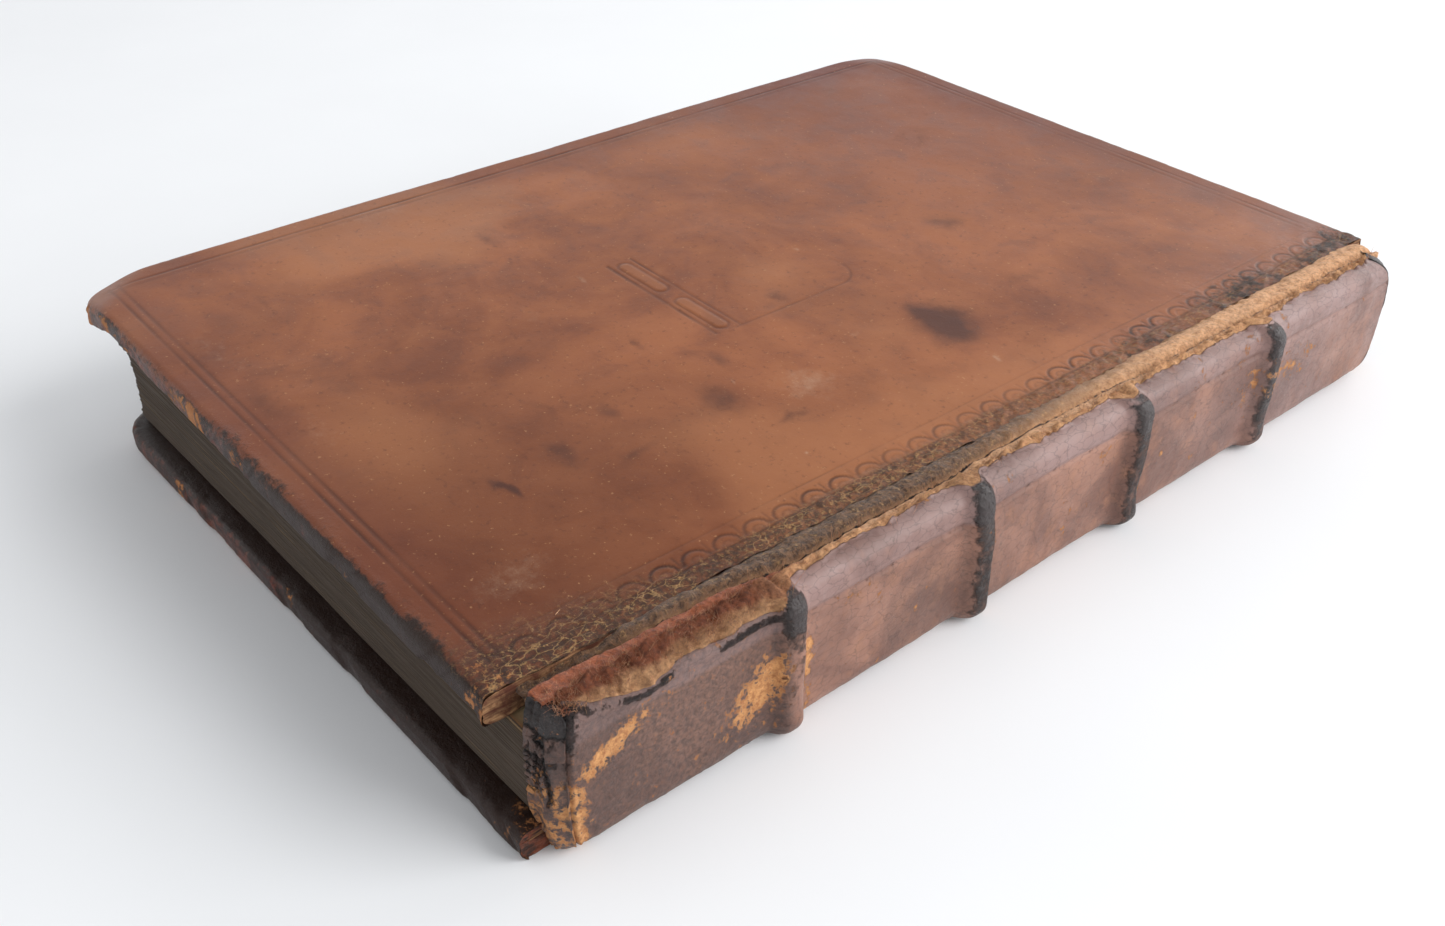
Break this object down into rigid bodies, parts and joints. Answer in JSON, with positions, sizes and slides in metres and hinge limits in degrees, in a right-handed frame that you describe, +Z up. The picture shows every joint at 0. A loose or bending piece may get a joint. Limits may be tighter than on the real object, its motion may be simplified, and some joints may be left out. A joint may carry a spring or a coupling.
{
  "type": "prayer book",
  "caption": "Antique leather-bound prayer book with raised spine bands, laced-in boards, sewn gatherings and hinged covers.",
  "frame": {"origin": "centre of the bounding box in plan, on the plane the back cover rests on", "axes": "+X from the fore-edge to the spine, +Y from the head to the tail along the spine, +Z up out of the front cover"},
  "size_m": [0.1368, 0.19, 0.0284],
  "materials": {
    "cover_leather": "worn, polished calf",
    "spine_leather": "dark, cracked calf",
    "joint_leather": "torn, fibrous",
    "pasteboard": "rough",
    "endpaper": "matte",
    "page_paper": "matte, age toned",
    "lining_paper": "matte",
    "hemp_cord": "twisted hemp",
    "linen_thread": "waxed linen",
    "endband_thread": "faded thread"
  },
  "bodies": {
    "text_block": {"spine_leather": "spine_leather", "sewing_thread": "linen_thread", "sewing_cord_1": "hemp_cord", "sewing_cord_2": "hemp_cord", "sewing_cord_3": "hemp_cord", "sewing_cord_4": "hemp_cord", "spine_lining_1": "lining_paper", "spine_lining_2": "lining_paper", "spine_lining_3": "lining_paper", "spine_lining_4": "lining_paper", "spine_lining_5": "lining_paper", "head_endband": "endband_thread", "tail_endband": "endband_thread"},
    "front_cover": {"front_board": "pasteboard", "front_cover_leather": "cover_leather", "front_cord_slips": "hemp_cord", "front_pastedown": "endpaper", "front_joint_leather": "joint_leather"},
    "back_cover": {"back_board": "pasteboard", "back_cover_leather": "cover_leather", "back_cord_slips": "hemp_cord", "back_pastedown": "endpaper"},
    "front_flyleaf": {"front_flyleaf": "endpaper"},
    "back_flyleaf": {"back_flyleaf": "endpaper"},
    "gathering_01": {"gathering_01": "page_paper"},
    "gathering_02": {"gathering_02": "page_paper"},
    "gathering_03": {"gathering_03": "page_paper"},
    "gathering_04": {"gathering_04": "page_paper"},
    "gathering_05": {"gathering_05": "page_paper"},
    "gathering_06": {"gathering_06": "page_paper"},
    "gathering_07": {"gathering_07": "page_paper"},
    "gathering_08": {"gathering_08": "page_paper"},
    "gathering_09": {"gathering_09": "page_paper"},
    "gathering_10": {"gathering_10": "page_paper"}
  },
  "joints": [
    {"name": "front_cover_hinge", "type": "hinge", "parent": "text_block", "child": "front_cover", "pos_m": [0.06184, 0, 0.0234], "axis": [0, 1, 0], "range_deg": [0, 175]},
    {"name": "back_cover_hinge", "type": "hinge", "parent": "text_block", "child": "back_cover", "pos_m": [0.06234, 0, 0.00005], "axis": [0, -1, 0], "range_deg": [0, 175]},
    {"name": "front_flyleaf_fold", "type": "hinge", "parent": "text_block", "child": "front_flyleaf", "pos_m": [0.06124, 0, 0.01775], "axis": [0, 1, 0], "range_deg": [0, 72.5]},
    {"name": "back_flyleaf_fold", "type": "hinge", "parent": "text_block", "child": "back_flyleaf", "pos_m": [0.06124, 0, 0.00499], "axis": [0, -1, 0], "range_deg": [0, 40.5]},
    {"name": "gathering_01_fold", "type": "hinge", "parent": "text_block", "child": "gathering_01", "pos_m": [0.06124, 0, 0.01687], "axis": [0, 1, 0], "range_deg": [0, 54.5]},
    {"name": "gathering_02_fold", "type": "hinge", "parent": "text_block", "child": "gathering_02", "pos_m": [0.06124, 0, 0.01565], "axis": [0, 1, 0], "range_deg": [0, 49.1]},
    {"name": "gathering_03_fold", "type": "hinge", "parent": "text_block", "child": "gathering_03", "pos_m": [0.06124, 0, 0.01443], "axis": [0, 1, 0], "range_deg": [0, 43.7]},
    {"name": "gathering_04_fold", "type": "hinge", "parent": "text_block", "child": "gathering_04", "pos_m": [0.06124, 0, 0.01321], "axis": [0, 1, 0], "range_deg": [0, 38.3]},
    {"name": "gathering_05_fold", "type": "hinge", "parent": "text_block", "child": "gathering_05", "pos_m": [0.06124, 0, 0.01198], "axis": [0, 1, 0], "range_deg": [0, 32.9]},
    {"name": "gathering_06_fold", "type": "hinge", "parent": "text_block", "child": "gathering_06", "pos_m": [0.06124, 0, 0.01076], "axis": [0, 1, 0], "range_deg": [0, 27.5]},
    {"name": "gathering_07_fold", "type": "hinge", "parent": "text_block", "child": "gathering_07", "pos_m": [0.06124, 0, 0.00954], "axis": [0, 1, 0], "range_deg": [0, 22.1]},
    {"name": "gathering_08_fold", "type": "hinge", "parent": "text_block", "child": "gathering_08", "pos_m": [0.06124, 0, 0.00832], "axis": [0, 1, 0], "range_deg": [0, 16.7]},
    {"name": "gathering_09_fold", "type": "hinge", "parent": "text_block", "child": "gathering_09", "pos_m": [0.06124, 0, 0.00709], "axis": [0, 1, 0], "range_deg": [0, 11.3]},
    {"name": "gathering_10_fold", "type": "hinge", "parent": "text_block", "child": "gathering_10", "pos_m": [0.06124, 0, 0.00587], "axis": [0, 1, 0], "range_deg": [0, 5.9]}
  ],
  "couplings": [
    {"joint": "front_flyleaf_fold", "follows": "front_cover_hinge", "ratio": 0.41143},
    {"joint": "back_flyleaf_fold", "follows": "back_cover_hinge", "ratio": 0.22857},
    {"joint": "gathering_01_fold", "follows": "front_cover_hinge", "ratio": 0.30857},
    {"joint": "gathering_02_fold", "follows": "front_cover_hinge", "ratio": 0.27771},
    {"joint": "gathering_03_fold", "follows": "front_cover_hinge", "ratio": 0.24686},
    {"joint": "gathering_04_fold", "follows": "front_cover_hinge", "ratio": 0.216},
    {"joint": "gathering_05_fold", "follows": "front_cover_hinge", "ratio": 0.18514},
    {"joint": "gathering_06_fold", "follows": "front_cover_hinge", "ratio": 0.15429},
    {"joint": "gathering_07_fold", "follows": "front_cover_hinge", "ratio": 0.12343},
    {"joint": "gathering_08_fold", "follows": "front_cover_hinge", "ratio": 0.092571},
    {"joint": "gathering_09_fold", "follows": "front_cover_hinge", "ratio": 0.061714},
    {"joint": "gathering_10_fold", "follows": "front_cover_hinge", "ratio": 0.030857}
  ]
}
